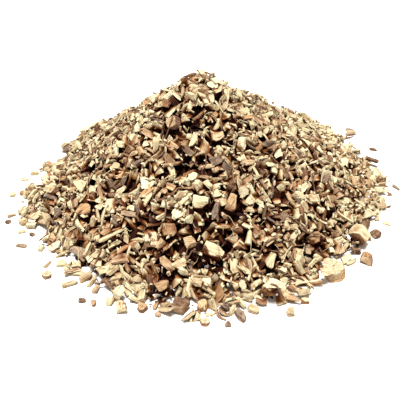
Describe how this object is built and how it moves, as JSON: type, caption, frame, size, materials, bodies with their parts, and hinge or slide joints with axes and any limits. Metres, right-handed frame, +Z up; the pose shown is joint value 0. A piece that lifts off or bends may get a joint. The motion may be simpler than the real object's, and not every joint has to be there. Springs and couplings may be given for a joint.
{
  "type": "heap of cut restharrow root",
  "caption": "Conical heap of dried, cut restharrow root: angular pale wood chips, splinters and bark bits packed in a mound, with loose chips lying around its foot.",
  "frame": {"origin": "middle of the heap's foot, on the surface that it lies on", "axes": "+Z up; the picture looks along +Y from above, with +X to its right"},
  "size_m": [0.1832, 0.1648, 0.0551],
  "materials": {
    "packed_chips": "dry, matt, mixed pale wood and brown bark chips",
    "pale_wood": "dry cut sapwood, matt and fibrous",
    "tan_wood": "dry cut heartwood, matt and fibrous",
    "orange_wood": "dry inner bark, matt",
    "brown_bark": "dry cork, matt and wrinkled",
    "grey_bark": "weathered cork, matt and furrowed"
  },
  "bodies": {
    "root": {"chip_heap": "packed_chips", "orange_slab_left": "orange_wood", "pale_slab_left_edge": "pale_wood", "tan_disc_near_top": "tan_wood", "long_splinter_left": "pale_wood", "tan_chunk_front": "tan_wood", "rough_chunk_front": "tan_wood", "brown_root_left_front": "grey_bark", "pale_wedge_front": "pale_wood", "split_stick_front": "tan_wood", "tan_stub_front_edge": "tan_wood", "pale_splinter_front": "pale_wood", "pale_stick_front_right": "pale_wood", "orange_cube_front_edge": "orange_wood", "tan_chunk_right": "tan_wood", "pale_wedge_right_edge": "pale_wood", "pale_chunk_middle": "pale_wood", "tan_stick_middle": "tan_wood", "loose_tan_slab_left_back": "tan_wood", "loose_pale_chunk_left_back": "pale_wood", "loose_pale_flake_left_back": "pale_wood", "loose_brown_crumb_left": "brown_bark", "loose_pale_chip_far_left": "pale_wood", "loose_tan_chip_left": "tan_wood", "loose_tan_splinter_left": "tan_wood", "loose_brown_chip_far_left": "brown_bark", "loose_tan_chunk_left": "tan_wood", "loose_pale_slab_left": "pale_wood", "loose_brown_crumb_left_front": "brown_bark", "loose_grey_stick_left": "grey_bark", "loose_pale_cube_left": "pale_wood", "loose_pale_disc_left_front": "pale_wood", "loose_rootlet_left_front": "tan_wood", "loose_flat_chip_left_front": "pale_wood", "loose_pale_stub_left_front": "pale_wood", "loose_dark_bark_left_front": "brown_bark", "loose_orange_oval_left_front": "orange_wood", "loose_tan_cone_left_front": "tan_wood", "loose_pale_chunk_front_left": "pale_wood", "loose_rough_chunk_front_left": "pale_wood", "loose_round_slice_front_left": "tan_wood", "loose_tan_sliver_front": "tan_wood", "loose_brown_bit_front": "brown_bark", "large_bark_chunk_front": "brown_bark", "loose_brown_chunk_front": "orange_wood", "loose_pale_disc_front": "pale_wood", "loose_thin_flake_front": "pale_wood", "loose_brown_cube_front": "brown_bark", "loose_hollow_slice_front": "tan_wood", "loose_grey_bark_front": "grey_bark", "loose_pale_wedge_front_right": "pale_wood", "loose_pale_cube_front_right": "pale_wood", "loose_striped_chip_front_right": "pale_wood", "large_root_slice_front_right": "pale_wood", "loose_barked_chunk_right": "tan_wood", "loose_brown_chunk_right": "brown_bark", "loose_pale_sliver_right": "pale_wood", "loose_brown_crumb_far_right": "brown_bark", "loose_grey_splinter_far_right": "grey_bark", "loose_brown_sliver_right_back": "brown_bark"}
  },
  "joints": []
}
